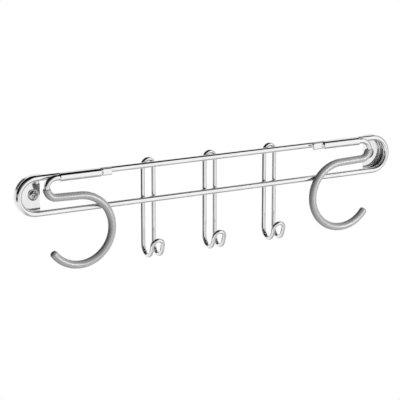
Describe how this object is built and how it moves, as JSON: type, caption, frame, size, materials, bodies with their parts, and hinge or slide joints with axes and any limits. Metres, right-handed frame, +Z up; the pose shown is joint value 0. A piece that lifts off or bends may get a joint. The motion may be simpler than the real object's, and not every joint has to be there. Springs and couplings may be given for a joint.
{
  "type": "wall-mount mop holder",
  "caption": "Bright wire rack that screws to a wall, with fixed coat hooks and coated open rings that swing up on tube hinges to hold mop and broom handles.",
  "frame": {"origin": "on the wall plane, midway between the axes of the wall screws", "axes": "+X to the right along the rails as seen from the room, +Y into the wall, +Z up"},
  "size_m": [0.433, 0.0578, 0.1021],
  "materials": {
    "chrome": "polished plating",
    "screw_steel": "bright zinc plating",
    "grip": "satin dipped coat"
  },
  "bodies": {
    "rack": {"frame_loop": "chrome", "left_wall_plate": "chrome", "right_wall_plate": "chrome", "left_wall_screw": "screw_steel", "right_wall_screw": "screw_steel", "left_coat_hook": "chrome", "middle_coat_hook": "chrome", "right_coat_hook": "chrome", "left_hinge_tube": "chrome", "right_hinge_tube": "chrome"},
    "left_hook": {"left_swing_hook": "chrome", "left_grip_coat": "grip"},
    "right_hook": {"right_swing_hook": "chrome", "right_grip_coat": "grip"}
  },
  "joints": [
    {"name": "left_hook_swing", "type": "hinge", "parent": "rack", "child": "left_hook", "pos_m": [-0.151, -0.01455, 0.018], "axis": [-1, 0, 0], "range_deg": [0, 180]},
    {"name": "right_hook_swing", "type": "hinge", "parent": "rack", "child": "right_hook", "pos_m": [0.151, -0.01455, 0.018], "axis": [-1, 0, 0], "range_deg": [0, 180]}
  ]
}
